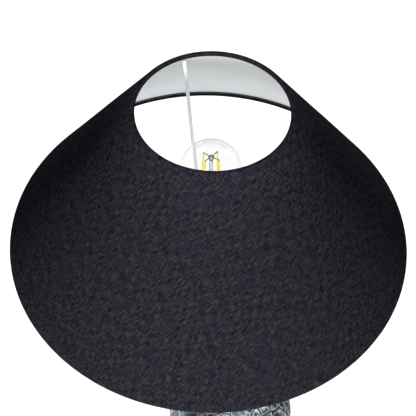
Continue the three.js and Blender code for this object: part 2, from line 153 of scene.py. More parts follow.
def rounded(corners, radius, steps=4, closed=True):
    """An outline of (r, z) corners with each corner rounded off."""
    outline = []
    count = len(corners)
    for i, corner in enumerate(corners):
        if not closed and i in (0, count - 1):
            outline.append(tuple(corner))
            continue
        here = Vector(corner)
        before, after = Vector(corners[i - 1]) - here, Vector(corners[(i + 1) % count]) - here
        reach = min(radius, before.length * 0.45, after.length * 0.45)
        a, b = here + before.normalized() * reach, here + after.normalized() * reach
        for k in range(steps + 1):
            t = k / steps
            outline.append(tuple(a * (1 - t) ** 2 + here * 2 * t * (1 - t) + b * t * t))
    return outline


def curve_points(knots, steps):
    """A smooth line through 3-D knots (Catmull-Rom), steps points to each stretch."""
    knots = [Vector(k) for k in knots]
    padded = [2 * knots[0] - knots[1], *knots, 2 * knots[-1] - knots[-2]]
    line = []
    for i in range(1, len(padded) - 2):
        p0, p1, p2, p3 = padded[i - 1:i + 3]
        for k in range(steps):
            t = k / steps
            line.append(0.5 * (2 * p1 + (p2 - p0) * t + (2 * p0 - 5 * p1 + 4 * p2 - p3) * t ** 2
                               + (3 * p1 - p0 - 3 * p2 + p3) * t ** 3))
    return [*line, knots[-1]]


def tube(name, line, radius, sides=16, sharp=50):
    """A round bar along a line, with slightly domed ends. radius is a number or a function of the share along."""
    line = [Vector(p) for p in line]
    size = radius if callable(radius) else lambda share: radius
    lengths = np.cumsum([0] + [(b - a).length for a, b in zip(line, line[1:])])
    side = None
    rings = []
    for i, p in enumerate(line):
        ahead = (line[min(i + 1, len(line) - 1)] - line[max(i - 1, 0)]).normalized()
        if side is None:
            side = ahead.orthogonal().normalized()
        side = (side - ahead * side.dot(ahead)).normalized()
        other = ahead.cross(side)
        r = size(lengths[i] / lengths[-1])
        around = [side * math.cos(a) + other * math.sin(a) for a in np.arange(sides) / sides * TAU]
        stations = [(0, 1)]
        if i == 0:
            stations = [(-0.35, 0), (-0.3, 0.5), (-0.12, 0.88), (0, 1)]
        elif i == len(line) - 1:
            stations = [(0, 1), (0.12, 0.88), (0.3, 0.5), (0.35, 0)]
        rings += [[p + ahead * r * along + d * r * across for d in around] for along, across in stations]
    return grid(name, rings, sharp=sharp)


def roughen(piece, amount, scale, seed):
    """Moves each point along its normal by smooth noise."""
    shift = Vector((seed * 3.1, seed * 1.7, seed * 0.9))
    for v in piece.data.vertices:
        v.co += v.normal * amount * noise.noise(v.co * scale + shift)
    piece.data.update()
    return piece


def stands_for(piece, node, material):
    """piece takes the place of a CAD node: its body and a material of its own."""
    bodies = frame["record"]["behaviour"]["bodies"]
    body = next(b for b, nodes in bodies.items() if node in nodes)
    piece.data.materials.clear()
    piece.data.materials.append(material)
    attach(piece, body)
    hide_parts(node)
    return piece


def repaint(node, material):
    """A CAD node that keeps its own shape, with a better material."""
    piece = frame["nodes"][node]
    piece.data.materials.clear()
    piece.data.materials.append(material)
    return piece


# ---- Materials ----
class Paint:
    """A material with one Principled shader, and short ways to add nodes to it."""

    def __init__(self, name, values):
        self.material = bpy.data.materials.new(name)
        self.material.use_nodes = True
        self.tree = self.material.node_tree
        self.shader = self.tree.nodes["Principled BSDF"]
        for socket, value in values.items():
            self.shader.inputs[socket].default_value = value

    def add(self, kind, inputs=(), **settings):
        node = self.tree.nodes.new("ShaderNode" + kind)
        for key, value in settings.items():
            setattr(node, key, value)
        for key, value in dict(inputs).items():
            self.feed(node.inputs[key], value)
        return node

    def feed(self, socket, value):
        if isinstance(value, bpy.types.NodeSocket):
            self.tree.links.new(value, socket)
        else:
            socket.default_value = value

    def drive(self, socket, value):
        self.feed(self.shader.inputs[socket], value)

    def place(self, scale=(1, 1, 1), turn=0.0, source=None):
        source = source or self.add("TexCoord").outputs["Object"]
        inputs = {"Vector": source, "Scale": scale, "Rotation": (0, 0, turn)}
        return self.add("Mapping", inputs).outputs["Vector"]

    def noise(self, scale, where=None, detail=3.0, rough=0.5, warp=0.0):
        inputs = {"Scale": scale, "Detail": detail, "Roughness": rough, "Distortion": warp}
        inputs["Vector"] = where or self.place()
        return self.add("TexNoise", inputs).outputs["Fac"]

    def ramp(self, factor, *stops):
        node = self.add("ValToRGB", {"Fac": factor})
        elements = node.color_ramp.elements
        while len(elements) < len(stops):
            elements.new(0.5)
        for element, (at, colour) in zip(elements, stops):
            element.position = at
            element.color = (*colour, 1) if len(colour) == 3 else colour
        return node.outputs["Color"]

    def span(self, factor, low, high, to_low=0.0, to_high=1.0):
        inputs = {"Value": factor, "From Min": low, "From Max": high, "To Min": to_low, "To Max": to_high}
        return self.add("MapRange", inputs).outputs["Result"]

    def sum(self, operation, a, b=0.0):
        node = self.add("Math", operation=operation)
        self.feed(node.inputs[0], a)
        self.feed(node.inputs[1], b)
        return node.outputs[0]

    def mix(self, factor, a, b, blend="MIX"):
        node = self.add("Mix", data_type="RGBA", blend_type=blend)
        self.feed(node.inputs[0], factor)
        colours = [s for s in node.inputs if s.type == "RGBA"]
        for socket, value in zip(colours, (a, b)):
            self.feed(socket, value if isinstance(value, bpy.types.NodeSocket) else (*value, 1))
        return next(s for s in node.outputs if s.type == "RGBA")

    def value(self, name):
        return self.add("Attribute", attribute_name=name).outputs["Fac"]

    def bump(self, height, strength, distance, over=None):
        inputs = {"Height": height, "Strength": strength, "Distance": distance}
        if over is not None:
            inputs["Normal"] = over
        return self.add("Bump", inputs).outputs["Normal"]


def cloth_paint(name, tone=1.0):
    """Near-black plain-woven linen, with slubs in both directions. The weave runs in the flat cut's own plane."""
    thread = 0.30 * MM
    paint = Paint(name, {"Roughness": 0.9, "Specular IOR Level": 0.0})
    flat = paint.add("UVMap", uv_map="cloth").outputs["UV"]
    threads = paint.place((1 / thread,) * 3, math.radians(45), flat)
    apart = paint.add("SeparateXYZ", {"Vector": threads})
    warp = paint.sum("ABSOLUTE", paint.sum("SINE", paint.sum("MULTIPLY", apart.outputs["X"], math.pi)))
    weft = paint.sum("ABSOLUTE", paint.sum("SINE", paint.sum("MULTIPLY", apart.outputs["Y"], math.pi)))
    over = paint.add("TexChecker", {"Vector": threads, "Scale": 1.0}).outputs["Fac"]
    weave = paint.add("Mix", data_type="FLOAT")
    paint.feed(weave.inputs[0], over)
    paint.feed(weave.inputs[2], warp)
    paint.feed(weave.inputs[3], weft)
    yarn_a = paint.noise(1.0, paint.place((0.9, 0.07, 1), 0, threads), 2)
    yarn_b = paint.noise(1.0, paint.place((0.07, 0.9, 1), 0, threads), 2)
    slub_a = paint.noise(1.0, paint.place((0.40, 0.036, 1), 0, threads), 2, 0.6)
    slub_b = paint.noise(1.0, paint.place((0.036, 0.40, 1), 0, threads), 2, 0.6)
    fine = paint.sum("ADD", paint.span(yarn_a, 0.3, 0.7, 0, 0.5), paint.span(yarn_b, 0.3, 0.7, 0, 0.5))
    coarse = paint.sum("ADD", paint.span(slub_a, 0.35, 0.68, 0, 0.6), paint.span(slub_b, 0.35, 0.68, 0, 0.4))
    share = paint.sum("ADD", paint.sum("MULTIPLY", fine, 0.45), paint.sum("MULTIPLY", coarse, 0.55))
    light = tuple(tone * c for c in (0.054, 0.051, 0.057))
    mid = tuple(tone * c for c in (0.0130, 0.0125, 0.0172))
    dark = tuple(tone * c for c in (0.0024, 0.0024, 0.0060))
    colour = paint.ramp(share, (0.26, dark), (0.5, mid), (0.76, light))
    paint.drive("Base Color", paint.mix(paint.span(weave.outputs[0], 0, 0.5, 0.45, 0), colour, dark))
    rise = paint.sum("ADD", weave.outputs[0], paint.sum("MULTIPLY", coarse, 1.2))
    paint.drive("Normal", paint.bump(rise, 0.55, 0.22 * MM))
    return paint.material


def lining_paint():
    """White film on the inside of the shade, with a faint orange-peel and handling marks."""
    paint = Paint("lining_film", {"Roughness": 0.5, "Specular IOR Level": 0.4})
    cloud = paint.noise(9, detail=5)
    paint.drive("Base Color", paint.ramp(cloud, (0.3, (0.575, 0.60, 0.61)), (0.7, (0.615, 0.64, 0.65))))
    paint.drive("Roughness", paint.span(paint.noise(30, detail=4), 0.3, 0.7, 0.42, 0.58))
    paint.drive("Normal", paint.bump(paint.noise(900, detail=2), 0.12, 0.1 * MM))
    return paint.material


def powder_paint(name, low, high):
    """Powder coat on wire: a fine orange-peel, with dulling from handling."""
    paint = Paint(name, {"Roughness": 0.38})
    paint.drive("Base Color", paint.ramp(paint.noise(60, detail=5), (0.3, low), (0.7, high)))
    paint.drive("Roughness", paint.span(paint.noise(200, detail=3), 0.3, 0.7, 0.3, 0.5))
    paint.drive("Normal", paint.bump(paint.noise(1400, detail=2), 0.15, 0.1 * MM))
    return paint.material


def metal_paint(name, colour, rough, stretch=(1, 1, 1), scale=400, wear=0.25):
    """Bare or plated metal, with drawn or turned marks along stretch and uneven tarnish."""
    paint = Paint(name, {"Metallic": 1.0, "Roughness": rough})
    lines = paint.noise(scale, paint.place(stretch), 4, 0.6)
    tarnish = paint.noise(35, detail=5, rough=0.6)
    dark = tuple(c * (1 - wear) for c in colour)
    paint.drive("Base Color", paint.ramp(tarnish, (0.35, dark), (0.65, colour)))
    paint.drive("Roughness", paint.span(paint.sum("ADD", lines, tarnish), 0.7, 1.3, rough * 0.75, rough * 1.35))
    paint.drive("Normal", paint.bump(lines, 0.08, 0.1 * MM))
    return paint.material


def bronze_paint():
    """Dark bronzed tube: near black, rubbed a little warmer, with fine lengthwise marks."""
    paint = Paint("dark_bronze", {"Metallic": 0.85, "Roughness": 0.36, "Coat Weight": 0.25, "Coat Roughness": 0.2})
    lines = paint.noise(500, paint.place((1, 1, 0.04)), 3)
    cloud = paint.noise(45, detail=5, rough=0.65)
    paint.drive("Base Color", paint.ramp(cloud, (0.3, (0.030, 0.026, 0.023)), (0.62, (0.062, 0.053, 0.045)),
                                         (0.8, (0.12, 0.092, 0.066))))
    paint.drive("Roughness", paint.span(paint.sum("ADD", lines, cloud), 0.7, 1.3, 0.28, 0.48))
    paint.drive("Normal", paint.bump(lines, 0.06, 0.1 * MM))
    return paint.material


def plastic_paint(name, colour, rough=0.42):
    """Moulded plastic or rubber: a fine spark-eroded grain and faint smears."""
    paint = Paint(name, {"Roughness": rough})
    lift = tuple(c * 1.5 + 0.004 for c in colour)
    paint.drive("Base Color", paint.ramp(paint.noise(70, detail=5), (0.35, colour), (0.75, lift)))
    paint.drive("Roughness", paint.span(paint.noise(120, detail=4), 0.3, 0.7, rough * 0.8, rough * 1.3))
    paint.drive("Normal", paint.bump(paint.noise(2200, detail=2), 0.18, 0.08 * MM))
    return paint.material


def glass_paint(name, colour=(0.955, 0.962, 0.962)):
    """Blown glass with very slight waves."""
    paint = Paint(name, {"Base Color": (*colour, 1), "Roughness": 0.0, "IOR": 1.47, "Transmission Weight": 1.0})
    paint.drive("Normal", paint.bump(paint.noise(40, detail=1), 0.04, 1 * MM))
    return paint.material


def bead_paint():
    """Grey-green sealing glass, cloudy with bubbles and the wires' ends."""
    paint = Paint("bead_glass", {"Roughness": 0.12, "IOR": 1.5, "Transmission Weight": 0.55})
    cloud = paint.noise(420, detail=4, rough=0.6, warp=0.8)
    paint.drive("Base Color", paint.ramp(cloud, (0.38, (0.10, 0.14, 0.13)), (0.5, (0.45, 0.52, 0.49)),
                                         (0.64, (0.85, 0.88, 0.86))))
    paint.drive("Normal", paint.bump(cloud, 0.3, 0.3 * MM))
    return paint.material


def phosphor_painted_glow_paint():
    """Yellow silicone coat of the filaments, uneven along the rod, with a painted glow: it shines though the bulb is
    not lit.
    """
    # The emission here is a painted glow, not light from the unlit bulb.
    paint = Paint("phosphor_painted_glow", {"Roughness": 0.55, "Emission Color": (1, 0.84, 0.02, 1), "Emission Strength": 0.5})
    grain = paint.noise(500, detail=3)
    paint.drive("Base Color", paint.ramp(grain, (0.35, (0.88, 0.66, 0.015)), (0.65, (0.97, 0.83, 0.04))))
    paint.drive("Normal", paint.bump(grain, 0.3, 0.15 * MM))
    return paint.material


def ceramic_paint():
    paint = Paint("core_ceramic", {"Roughness": 0.6})
    paint.drive("Base Color", paint.ramp(paint.noise(120, detail=4), (0.3, (0.78, 0.76, 0.70)),
                                         (0.7, (0.88, 0.86, 0.81))))
    paint.drive("Normal", paint.bump(paint.noise(900), 0.2, 0.1 * MM))
    return paint.material


def felt_paint():
    paint = Paint("felt", {"Roughness": 0.97, "Sheen Weight": 0.3, "Sheen Roughness": 0.5})
    fibre = paint.noise(900, detail=6, rough=0.7, warp=1.5)
    paint.drive("Base Color", paint.ramp(fibre, (0.3, (0.016, 0.016, 0.018)), (0.7, (0.06, 0.06, 0.064))))
    paint.drive("Normal", paint.bump(fibre, 0.6, 0.4 * MM))
    return paint.material


def fibre_paint():
    paint = Paint("washer_fibre", {"Roughness": 0.8})
    paint.drive("Base Color", paint.ramp(paint.noise(700, detail=5), (0.3, (0.52, 0.50, 0.45)),
                                         (0.7, (0.68, 0.66, 0.60))))
    paint.drive("Normal", paint.bump(paint.noise(1500), 0.25, 0.1 * MM))
    return paint.material


def relief_paint():
    """Whitewashed relief: pale raised rims, streaky blue-grey cells with a darker pit, and near-black crevices.
    The mesh says where each is, and gives the streaks their direction in each cell."""
    paint = Paint("base_whitewash", {"Roughness": 0.5, "Specular IOR Level": 0.4})
    streak_place = paint.add("Attribute", attribute_name="streak").outputs["Vector"]
    streak = paint.noise(1.0, paint.place((45, 520, 60), 0, streak_place), 5, 0.62)
    fine = paint.noise(800, detail=4, rough=0.65)
    blotch = paint.noise(75, detail=5, rough=0.6)
    mixed = paint.sum("ADD", paint.sum("MULTIPLY", streak, 0.62),
                      paint.sum("ADD", paint.sum("MULTIPLY", fine, 0.13), paint.sum("MULTIPLY", blotch, 0.25)))
    inside = paint.ramp(mixed, (0.39, (0.004, 0.009, 0.017)), (0.47, (0.026, 0.045, 0.063)),
                        (0.53, (0.095, 0.130, 0.155)), (0.61, (0.35, 0.39, 0.41)))
    pale = paint.ramp(fine, (0.3, (0.24, 0.29, 0.31)), (0.6, (0.47, 0.51, 0.52)))
    dark = paint.ramp(blotch, (0.35, (0.002, 0.004, 0.008)), (0.6, (0.008, 0.014, 0.022)),
                      (0.78, (0.045, 0.030, 0.012)))
    worn_rim = paint.sum("MULTIPLY", paint.value("rim"), paint.span(streak, 0.36, 0.6, 0.2, 1.0))
    colour = paint.mix(worn_rim, inside, pale)
    colour = paint.mix(paint.value("pit"), colour, dark)
    paint.drive("Base Color", paint.mix(paint.value("gap"), colour, dark))
    paint.drive("Roughness", paint.span(mixed, 0.3, 0.7, 0.65, 0.4))
    rise = paint.sum("ADD", streak, paint.sum("MULTIPLY", fine, 0.4))
    paint.drive("Normal", paint.bump(rise, 0.45, 0.6 * MM))
    return paint.material


# ---- Shade ----
def cone_point(azimuth, along, out):
    r, z = EDGE + UP_SLOPE * along + OUT_OF_SLOPE * out
    return (r * math.cos(azimuth), r * math.sin(azimuth), z)


def flat_place(azimuth_from_front, along):
    """Where a point of the cone lies in the flat cut, in metres."""
    reach = APEX - along
    angle = azimuth_from_front * -UP_SLOPE.x
    return (reach * math.sin(angle), -reach * math.cos(angle))


SEAM = math.radians(90)     # the cloth's ends meet at the back


def cone_skin(name, alongs, faces_out, ripple=0.0):
    """A thin cone closed round both faces, with a flat-cut UV map."""
    columns = 288
    inner, outer = faces_out
    stations = [(a, outer) for a in alongs] + [(a, inner) for a in alongs[::-1]]
    azimuths = SEAM + np.arange(columns + 1) / columns * TAU

    def wave(azimuth, along):
        spot = Vector((math.cos(azimuth), math.sin(azimuth), along * 5)) * 2.2
        return ripple * noise.noise(spot) * max(0, math.sin(math.pi * along / SLANT))

    points = [[cone_point(a, along, out + wave(a, along)) for a in azimuths[:-1]] for along, out in stations]

    def uv(row, column):
        along, _ = stations[row % len(stations)]
        return flat_place(azimuths[column] - SEAM - math.pi, along)

    return grid(name, points, closed=True, uv=uv, sharp=60)


def hem(name, rim, side):
    """The cloth rolled from its edge round a ring to the inside. side is 1 at the top and -1 at the bottom."""
    edge = math.degrees(math.atan2(OUT_OF_SLOPE.y, OUT_OF_SLOPE.x))
    turn, columns = 262 * side, 360
    lap = 0.4 * MM * side
    start = rim.centre + OUT_OF_SLOPE * rim.roll
    tangent = tuple(start - UP_SLOPE * lap)
    outside = [tangent, *arc(rim.centre, rim.roll, edge, edge + turn, 26)]
    inside = arc(rim.centre, rim.roll - CLOTH, edge + turn, edge, 14)
    section = [*outside, *inside, tuple(start - UP_SLOPE * lap - OUT_OF_SLOPE * CLOTH)]
    azimuths = SEAM + np.arange(columns + 1) / columns * TAU

    def pucker(azimuth, angle):
        """Small creases where the cloth is gathered on the inside of the roll, none on its outer face."""
        inward = max(0, math.sin(min(math.pi, abs(angle))))
        spot = Vector((math.cos(azimuth) * 40, math.sin(azimuth) * 40, angle * 0.8 + side))
        return 0.16 * MM * inward * noise.noise(spot)

    points = []
    for r, z in section:
        off = Vector((r, z)) - rim.centre
        angle = math.atan2(off.dot(UP_SLOPE), off.dot(OUT_OF_SLOPE))
        rows = []
        for azimuth in azimuths[:-1]:
            spot = rim.centre + off * (1 + pucker(azimuth, angle) / rim.roll)
            rows.append((spot.x * math.cos(azimuth), spot.x * math.sin(azimuth), spot.y))
        points.append(rows)
    lengths = np.cumsum([0] + [(Vector(q) - Vector(p)).length for p, q in zip(section, section[1:] + section[:1])])
    base = SLANT if side > 0 else 0.0

    def uv(row, column):
        return flat_place(azimuths[column] - SEAM - math.pi, base + side * lengths[row])

    return grid(name, points, closed=True, uv=uv, sharp=60)


def seam_strip(cloth):
    """The glued overlap of the cloth, down the back, a little proud of it."""
    width, low, high, margin, rows_count = 9 * MM, 0.05 * MM, 0.5 * MM, 4 * MM, 60
    alongs = np.linspace(margin, SLANT - margin, rows_count)
    rows = []
    for along in alongs:
        radius = EDGE.x + UP_SLOPE.x * along
        edge = 0.35 * MM * noise.noise(Vector((0, 0, along * 90)))
        half = width / 2 / radius
        across = [SEAM + s * half + edge / radius for s in (1, 0.5, 0, -0.5, -1)]
        top = [cone_point(a, along, high) for a in across]
        bottom = [cone_point(a, along, low) for a in reversed(across)]
        rows.append([*top, *bottom])
    ends = [[np.mean(row, axis=0)] * len(row) for row in (rows[0], rows[-1])]

    def uv(row, column):
        along = alongs[min(max(row - 1, 0), rows_count - 1)]
        return (0.3 + (column % 10) * 2 * MM, along)

    piece = grid("seam_overlap", [ends[0], *rows, ends[1]], uv=uv, sharp=40)
    return stands_for(piece, "shade_seam", cloth)


def arm_line(node):
    """The bent line of a spider arm: out from the fitter ring, then straight up to the top ring."""
    low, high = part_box(node)
    side = 1 if abs(high.y) > abs(low.y) else -1
    reach = TOP.centre.x - TOP.roll - ARM_R - 0.3 * MM
    far = high.y - ARM_R if side > 0 else low.y + ARM_R
    turn = math.asin(min(1, abs(far) / reach))
    direction = Vector((-side * math.cos(turn), side * math.sin(turn), 0))
    ring_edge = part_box("fitter_ring")[1].x
    foot_z = middle("fitter_ring").z
    foot = direction * (ring_edge - 0.6 * MM) + Vector((0, 0, foot_z))
    corner = direction * (ring_edge + 3.5 * MM) + Vector((0, 0, foot_z))
    top = direction * reach + Vector((0, 0, TOP.centre.y - ARM_DROP[side]))
    slope = (top - corner).normalized()
    bend = 3 * MM
    start, end = corner - direction * bend, corner + slope * bend
    curve = [start * (1 - t) ** 2 + corner * 2 * t * (1 - t) + end * t * t for t in np.linspace(0, 1, 9)]
    straight = [end.lerp(top, t) for t in np.linspace(0, 1, 40)[1:]]
    return [foot, *curve, *straight]


def make_shade():
    cloth = cloth_paint("black_linen")
    roll = cloth_paint("hem_linen")
    wire = powder_paint("white_powder_coat", (0.84, 0.87, 0.89), (0.91, 0.93, 0.94))
    steel = metal_paint("drawn_wire", (0.55, 0.56, 0.57), 0.35)
    skin = cone_skin("shade_cloth", np.linspace(0, SLANT, 40), (-CLOTH, 0), 0.25 * MM)
    shade = stands_for(skin, "shade_fabric", cloth)
    film_alongs = np.linspace(BOTTOM.roll + WIRE_GAP, SLANT - TOP.roll - WIRE_GAP, 36)
    film = stands_for(cone_skin("shade_film", film_alongs, LINING_OUT), "shade_lining", lining_paint())
    top = stands_for(hem("top_rolled_hem", TOP, 1), "top_hem", roll)
    bottom = stands_for(hem("bottom_rolled_hem", BOTTOM, -1), "bottom_hem", roll)
    seam = seam_strip(cloth)
    for node in ("top_wire", "bottom_wire"):
        repaint(node, steel)
    for side in ("back", "front"):
        node = "spider_arm_" + side

        def thickness(share):
            return ARM_R * (1 + 0.25 * math.exp(-((share / 0.012) ** 2)))

        stands_for(tube("arm_wire_" + side, arm_line(node), thickness, 20), node, wire)
    low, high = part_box("fitter_ring")
    bore = high.x - 4.4 * MM
    section = [(bore, low.z), (high.x, low.z), (high.x, high.z), (bore, high.z)]
    stands_for(turned("fitter_plate", rounded(section, 0.6 * MM), 120, closed=True), "fitter_ring", wire)


# ---- Bulb ----
def threaded(name, core, crest, low, high, pitch, wall, sides=96, steps=12):
    """A sleeve with a rounded screw thread that fades out at both ends."""
    rows = int((high - low) / pitch * steps)
    turns = np.arange(sides) / sides * TAU
    outside = []
    for i in range(rows + 1):
        z = low + (high - low) * i / rows
        fade = min(1, (z - low) / pitch, (high - z) / pitch)
        row = []
        for t in turns:
            wave = 0.5 + 0.5 * math.cos(TAU * (z / pitch) - t)
            r = core + (crest - core) * wave * fade
            row.append((r * math.cos(t), r * math.sin(t), z))
        outside.append(row)
    inner = core - wall
    inside = [[(inner * math.cos(t), inner * math.sin(t), z) for t in turns] for z in (high, low)]
    return grid(name, [*outside, *inside], closed=True, sharp=50)


def glass_profile(wall):
    """From the neck up a flare into the globe."""
    low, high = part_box("bulb_glass")
    centre = high.z - BULB_R
    leave = -35
    start = arc((0, centre), BULB_R - wall, leave, leave, 1)[0]
    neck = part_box("bulb_cap")[1].x - 0.4 * MM - wall
    drop = (start[0] - neck) / math.tan(math.radians(-leave))
    control = (neck, start[1] - drop)
    flare = []
    for t in np.linspace(0, 1, 17)[:-1]:
        flare.append(tuple((1 - t) ** 2 * a + 2 * t * (1 - t) * b + t * t * c
                           for a, b, c in zip((neck, low.z), control, start)))
    globe = arc((0, centre), BULB_R - wall, leave, 90, 40)
    return [*flare, *globe[:-1], (0, centre + BULB_R - wall)]


def make_bulb():
    glass = glass_paint("blown_glass")
    nickel = metal_paint("nickel_cap", (0.70, 0.71, 0.72), 0.28, (1, 1, 0.2))
    dark_wire = metal_paint("mount_wire", (0.10, 0.085, 0.07), 0.4)
    lead = metal_paint("lead_wire", (0.42, 0.38, 0.34), 0.35)
    # The filaments' yellow coat, with its painted glow.
    phosphor_painted_glow = phosphor_painted_glow_paint()
    outline = [*glass_profile(GLASS_WALL)[::-1], *glass_profile(0)]
    stands_for(turned("bulb_globe", outline, 128, sharp=70), "bulb_glass", glass)

    low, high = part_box("bulb_cap")
    crest = high.x - 0.1 * MM
    cap = threaded("bulb_screw_cap", crest - 0.9 * MM, crest, low.z, high.z - 3 * MM, BULB_PITCH, 0.7 * MM)
    rim = rounded([(crest - 1.2 * MM, high.z - 3.4 * MM), (crest - 0.6 * MM, high.z - 3.4 * MM),
                   (crest, high.z - 2.4 * MM), (crest + 0.1 * MM, high.z), (crest - 0.8 * MM, high.z)], 0.3 * MM)
    collar = turned("bulb_cap_rim", rim, 96, closed=True)
    stands_for(cap, "bulb_cap", nickel)
    collar.data.materials.append(nickel)
    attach(collar, "bulb")

    low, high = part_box("bulb_insulator")
    body = [(0, low.z), (5.4 * MM, low.z), (high.x - 0.6 * MM, high.z - 1.2 * MM), (high.x, high.z), (0, high.z)]
    vitrite = turned("bulb_vitrite", rounded(body, 0.6 * MM, closed=False), 64)
    stands_for(vitrite, "bulb_insulator", plastic_paint("black_vitrite", (0.012, 0.012, 0.013), 0.2))
    low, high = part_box("bulb_tip")
    dome = [(0, low.z), *arc((0, low.z + 9 * MM), 9 * MM, -88, -60, 6), (high.x, high.z), (0, high.z)]
    stands_for(turned("bulb_solder_tip", dome, 48), "bulb_tip", nickel)
    mount(glass, phosphor_painted_glow, dark_wire, lead)


def mount(glass, phosphor_painted_glow, dark_wire, lead):
    """The glass stem with its bead, four filaments, their hooks and the lead wires."""
    low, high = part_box("bulb_stem")
    foot, rod = 8 * MM, 1.7 * MM
    trumpet = [(foot - (foot - 2.6 * MM) * math.sin(t) ** 0.8, low.z + 11 * MM * (1 - math.cos(t)))
               for t in np.linspace(0, math.pi / 2, 12)]
    press = [(3.4 * MM, low.z + 12.5 * MM), (3.2 * MM, low.z + 17 * MM), (rod, low.z + 20 * MM)]
    outside = [*trumpet, *press, (rod, high.z - 1 * MM), (rod * 0.7, high.z - 0.2 * MM)]
    inside = [(r - 0.35 * MM, z + 0.1 * MM) for r, z in outside]
    inside[0] = (inside[0][0], low.z)

    def pressed(t, r, z):
        return r * (1 - 0.35 * abs(math.sin(t)) * math.exp(-(((z - low.z) / MM - 15) / 4) ** 2)), z

    stem = turned("stem_glass", [*outside, *inside[::-1]], 48, closed=True, bend=pressed, sharp=60)
    stands_for(stem, "bulb_stem", glass)
    low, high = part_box("bulb_bead")
    radius = (high.z - low.z) / 2
    drop = [(radius * math.cos(a) * (1 + 0.12 * math.sin(a)), (low.z + high.z) / 2 + radius * math.sin(a))
            for a in np.linspace(-math.pi / 2, math.pi / 2, 17)]
    drop[0], drop[-1] = (0, drop[0][1]), (0, drop[-1][1])
    wide = (high.x - low.x) / 2 / radius
    drop = [(r * wide, z) for r, z in drop]
    stands_for(turned("bead_glass", drop, 32), "bulb_bead", bead_paint())
    for n in range(1, 5):
        filament(n, phosphor_painted_glow, dark_wire, lead)


def filament(n, phosphor_painted_glow, dark_wire, lead):
    """One coated rod, thinner at its ends, the hook that holds its top, and the wire that feeds its foot."""
    low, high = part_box(f"filament_{n}")
    sx, sy = (1 if middle(f"filament_{n}").x > 0 else -1), (1 if middle(f"filament_{n}").y > 0 else -1)
    outer = lambda v, w, s: (max(v, w) if s > 0 else min(v, w)) - s * FILAMENT_R
    inner = lambda v, w, s: (min(v, w) if s > 0 else max(v, w)) + s * FILAMENT_R
    top = Vector((inner(low.x, high.x, sx), inner(low.y, high.y, sy), high.z))
    foot = Vector((outer(low.x, high.x, sx), outer(low.y, high.y, sy), low.z))
    size = lambda share: FILAMENT_R * (0.45 if share < 0.05 or share > 0.95 else 1)
    stations = sorted({0, 0.045, 0.055, 0.945, 0.955, 1, *np.linspace(0.08, 0.92, 14)})
    rod = tube(f"filament_rod_{n}", [foot.lerp(top, s) for s in stations], size, 14)
    stands_for(rod, f"filament_{n}", phosphor_painted_glow)
    bead = middle("bulb_bead")
    away = Vector((top.x, top.y, 0)).normalized()
    start = bead + away * 2.5 * MM + Vector((0, 0, 0.5 * MM))
    rest = top + away * 0.4 * MM + Vector((0, 0, 1.1 * MM))
    knots = [start, start.lerp(rest, 0.5) + Vector((0, 0, 0.8 * MM)), rest, top + Vector((0, 0, -0.8 * MM))]
    stands_for(tube(f"hook_{n}", curve_points(knots, 6), 0.42 * MM, 8), f"filament_hook_{n}", dark_wire)
    begin = away * 2.6 * MM + Vector((0, 0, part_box(f"lead_wire_{n}")[0].z - 2 * MM))
    knots = [begin, begin + Vector((0, 0, 4 * MM)), begin.lerp(foot, 0.6) + Vector((0, 0, -1 * MM)),
             foot + Vector((0, 0, 1 * MM))]
    stands_for(tube(f"feed_{n}", curve_points(knots, 8), 0.4 * MM, 8), f"lead_wire_{n}", lead)


